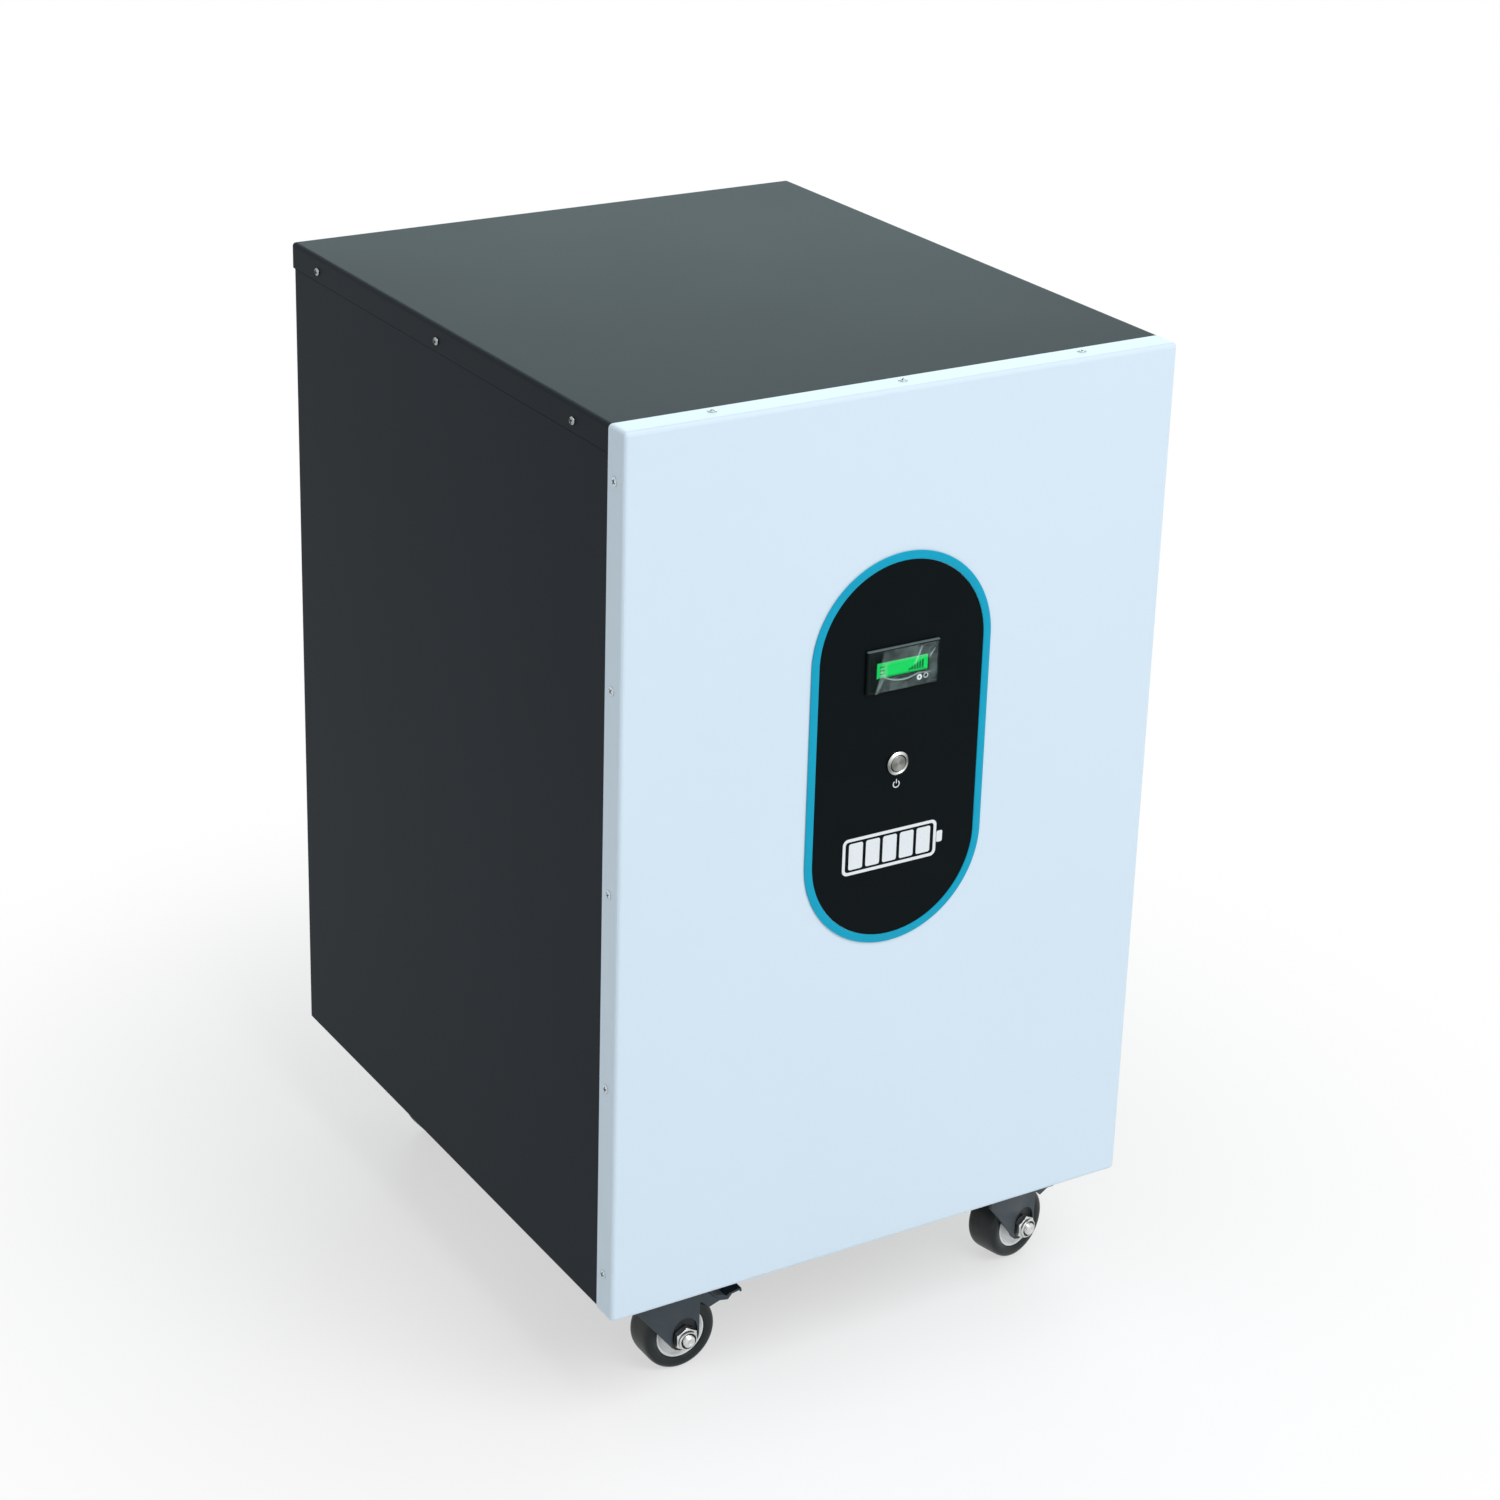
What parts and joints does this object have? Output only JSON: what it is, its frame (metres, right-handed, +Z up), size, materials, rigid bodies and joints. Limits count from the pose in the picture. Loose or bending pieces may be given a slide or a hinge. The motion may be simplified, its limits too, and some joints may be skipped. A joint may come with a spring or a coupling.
{
  "type": "wheeled battery cabinet",
  "caption": "Floor-standing battery cabinet of folded sheet steel on swivel casters, with an oval front display, a push-button and rear terminals.",
  "frame": {"origin": "on the floor under the middle of the bounding box", "axes": "+Z up, the display faces -Y, +X to the right as seen from the front"},
  "size_m": [0.4572, 0.5516, 0.772],
  "materials": {
    "case_grey": "fine-textured dark grey powder coat",
    "cover_white": "satin cool white powder coat",
    "ring_blue": "cyan-blue satin trim",
    "overlay_black": "black printed film, semi-gloss",
    "meter_black": "black moulded plastic",
    "meter_clear": "clear window",
    "lcd_green": "lit green display",
    "button_steel": "turned stainless steel",
    "fork_black": "black coated stamped steel",
    "zinc_steel": "bright zinc plate",
    "core_white": "white moulded plastic",
    "tyre_black": "black cast polyurethane",
    "insulator_red": "red moulded plastic",
    "insulator_black": "black moulded plastic",
    "brass": "plain brass",
    "breaker_grey": "light grey moulded plastic",
    "lever_black": "black moulded plastic",
    "cell_blue": "aluminium cell cans in blue film",
    "bms_aluminium": "extruded aluminium",
    "cable_red": "red cable jacket",
    "cable_black": "black cable jacket"
  },
  "bodies": {
    "cabinet": {"base_tray": "case_grey", "left_panel": "case_grey", "right_panel": "case_grey", "rear_panel": "case_grey", "top_rail": "case_grey", "top_lid": "case_grey", "front_cover": "cover_white", "cell_shelf": "case_grey", "trim_ring": "ring_blue", "display_overlay": "overlay_black", "meter_housing": "meter_black", "meter_window": "meter_clear", "meter_display": "lcd_green", "button_bezel": "button_steel", "button_nut": "zinc_steel", "positive_insulator": "insulator_red", "positive_stud": "brass", "negative_insulator": "insulator_black", "negative_stud": "brass", "breaker_body": "breaker_grey", "comm_socket": "lever_black", "earth_stud": "brass", "lower_cells": "cell_blue", "upper_cells": "cell_blue", "bms_unit": "bms_aluminium", "tier_cable": "cable_black", "positive_cable": "cable_red", "breaker_cable": "cable_red", "negative_cable": "cable_black", "bms_cable": "cable_black", "meter_lead": "cable_black", "front_left_caster_plate": "zinc_steel", "front_right_caster_plate": "zinc_steel", "rear_left_caster_plate": "zinc_steel", "rear_right_caster_plate": "zinc_steel"},
    "power_button": {"button_cap": "button_steel"},
    "breaker_toggle": {"breaker_lever": "lever_black"},
    "front_left_swivel": {"front_left_fork": "fork_black", "front_left_axle_bolt": "zinc_steel", "front_left_axle_nut": "zinc_steel"},
    "front_left_wheel": {"front_left_wheel_core": "core_white", "front_left_tyre": "tyre_black"},
    "front_left_pedal": {"front_left_brake_pedal": "fork_black"},
    "front_right_swivel": {"front_right_fork": "fork_black", "front_right_axle_bolt": "zinc_steel", "front_right_axle_nut": "zinc_steel"},
    "front_right_wheel": {"front_right_wheel_core": "core_white", "front_right_tyre": "tyre_black"},
    "front_right_pedal": {"front_right_brake_pedal": "fork_black"},
    "rear_left_swivel": {"rear_left_fork": "fork_black", "rear_left_axle_bolt": "zinc_steel", "rear_left_axle_nut": "zinc_steel"},
    "rear_left_wheel": {"rear_left_wheel_core": "core_white", "rear_left_tyre": "tyre_black"},
    "rear_right_swivel": {"rear_right_fork": "fork_black", "rear_right_axle_bolt": "zinc_steel", "rear_right_axle_nut": "zinc_steel"},
    "rear_right_wheel": {"rear_right_wheel_core": "core_white", "rear_right_tyre": "tyre_black"}
  },
  "joints": [
    {"name": "power_button_press", "type": "slide", "parent": "cabinet", "child": "power_button", "axis": [0, 1, 0], "range_m": [0, 0.0018], "stiffness_N_per_m": 800},
    {"name": "breaker_throw", "type": "hinge", "parent": "cabinet", "child": "breaker_toggle", "pos_m": [0, 0.25235, 0.66], "axis": [1, 0, 0], "range_deg": [0, 50]},
    {"name": "front_left_swivel", "type": "hinge", "parent": "cabinet", "child": "front_left_swivel", "pos_m": [-0.156, -0.20335, 0.0925], "axis": [0, 0, 1], "continuous": true},
    {"name": "front_left_wheel_spin", "type": "hinge", "parent": "front_left_swivel", "child": "front_left_wheel", "pos_m": [-0.133, -0.20335, 0.03], "axis": [0, 1, 0], "continuous": true},
    {"name": "front_left_brake_press", "type": "hinge", "parent": "front_left_swivel", "child": "front_left_pedal", "pos_m": [-0.123, -0.20335, 0.07], "axis": [0, 1, 0], "range_deg": [0, 17]},
    {"name": "front_right_swivel", "type": "hinge", "parent": "cabinet", "child": "front_right_swivel", "pos_m": [0.156, -0.20335, 0.0925], "axis": [0, 0, 1], "continuous": true},
    {"name": "front_right_wheel_spin", "type": "hinge", "parent": "front_right_swivel", "child": "front_right_wheel", "pos_m": [0.17836, -0.19798, 0.03], "axis": [-0.2334, 0.9724, 0], "continuous": true},
    {"name": "front_right_brake_press", "type": "hinge", "parent": "front_right_swivel", "child": "front_right_pedal", "pos_m": [0.18809, -0.19565, 0.07], "axis": [-0.2334, 0.9724, 0], "range_deg": [0, 17]},
    {"name": "rear_left_swivel", "type": "hinge", "parent": "cabinet", "child": "rear_left_swivel", "pos_m": [-0.156, 0.18065, 0.0925], "axis": [0, 0, 1], "continuous": true},
    {"name": "rear_left_wheel_spin", "type": "hinge", "parent": "rear_left_swivel", "child": "rear_left_wheel", "pos_m": [-0.13306, 0.18225, 0.03], "axis": [-0.0698, 0.9976, 0], "continuous": true},
    {"name": "rear_right_swivel", "type": "hinge", "parent": "cabinet", "child": "rear_right_swivel", "pos_m": [0.156, 0.18065, 0.0925], "axis": [0, 0, 1], "continuous": true},
    {"name": "rear_right_wheel_spin", "type": "hinge", "parent": "rear_right_swivel", "child": "rear_right_wheel", "pos_m": [0.17872, 0.18425, 0.03], "axis": [-0.1564, 0.9877, 0], "continuous": true}
  ]
}
